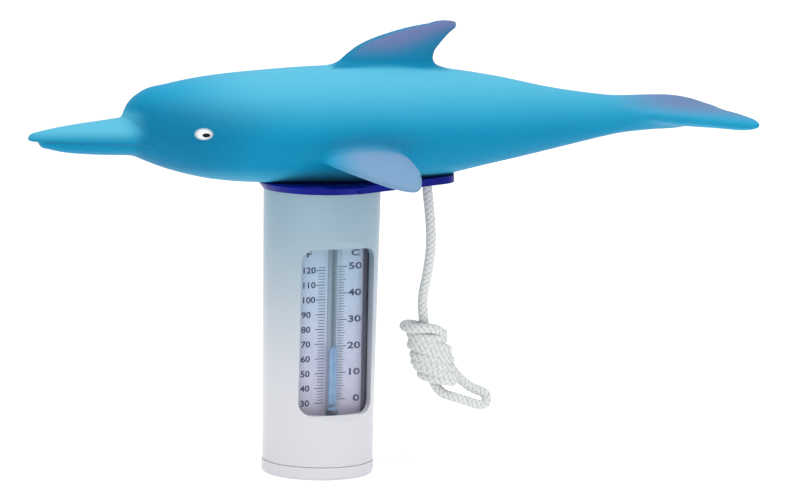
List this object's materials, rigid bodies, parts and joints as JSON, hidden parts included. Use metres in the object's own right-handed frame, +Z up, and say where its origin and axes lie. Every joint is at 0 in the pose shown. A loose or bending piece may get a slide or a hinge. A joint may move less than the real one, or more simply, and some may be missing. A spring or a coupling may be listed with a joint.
{
  "type": "floating pool thermometer",
  "caption": "Dolphin-shaped float on a windowed tube that holds a sealed spirit thermometer, with a weighted base and a tether cord.",
  "frame": {"origin": "centre of the base cap's flat underside, on the surface that the object stands on", "axes": "+Z up along the tube, -X towards the float's beak, +X towards its tail and the cord's ear, the window faces -Y turned 8 degrees towards +X"},
  "size_m": [0.2302, 0.086, 0.1436],
  "materials": {
    "tube_plastic": "moulded, satin gloss",
    "seal_rubber": "matt",
    "ballast_steel": "turned",
    "pad_foam": "closed-cell foam",
    "vial_clear": "clear",
    "stopper_rubber": "matt",
    "card_print": "printed card, satin",
    "stem_glass": "clear",
    "spirit_blue": "liquid",
    "clip_wire": "bright",
    "collar_plastic": "moulded, gloss",
    "retainer_plastic": "moulded",
    "float_vinyl": "soft vinyl, matt, fins airbrushed",
    "cord_nylon": "braided nylon"
  },
  "bodies": {
    "housing": {"tube_housing": "tube_plastic", "base_cap": "tube_plastic", "base_seal": "seal_rubber", "ballast_weight": "ballast_steel", "ballast_pad": "pad_foam", "vial_tube": "vial_clear", "vial_stopper_lower": "stopper_rubber", "vial_stopper_upper": "stopper_rubber", "vial_pad": "pad_foam", "scale_card": "card_print", "glass_stem": "stem_glass", "bulb_spirit": "spirit_blue", "stem_clip_lower": "clip_wire", "stem_clip_upper": "clip_wire"},
    "spirit": {"spirit_column": "spirit_blue"},
    "head": {"collar": "collar_plastic", "collar_o_ring": "seal_rubber", "neck_seal": "seal_rubber", "retaining_ring": "retainer_plastic", "dolphin_shell": "float_vinyl"},
    "cord_root": {"cord_stop": "cord_nylon"},
    "tether": {"tether_cord": "cord_nylon", "cord_hank": "cord_nylon"}
  },
  "joints": [
    {"name": "collar_turn", "type": "hinge", "parent": "housing", "child": "head", "pos_m": [0, 0, 0.091], "axis": [0, 0, 1], "continuous": true},
    {"name": "cord_twist", "type": "hinge", "parent": "head", "child": "cord_root", "pos_m": [0.0348, 0, 0.0933], "axis": [0, 0, 1], "range_deg": [-60, 60]},
    {"name": "cord_swing", "type": "hinge", "parent": "cord_root", "child": "tether", "pos_m": [0.0348, 0, 0.0902], "axis": [0, 1, 0], "range_deg": [-70, 8]},
    {"name": "spirit_rise", "type": "slide", "parent": "housing", "child": "spirit", "axis": [0, 0, 1], "range_m": [-0.01742, 0.02508], "deforming": ["spirit_column"]}
  ]
}
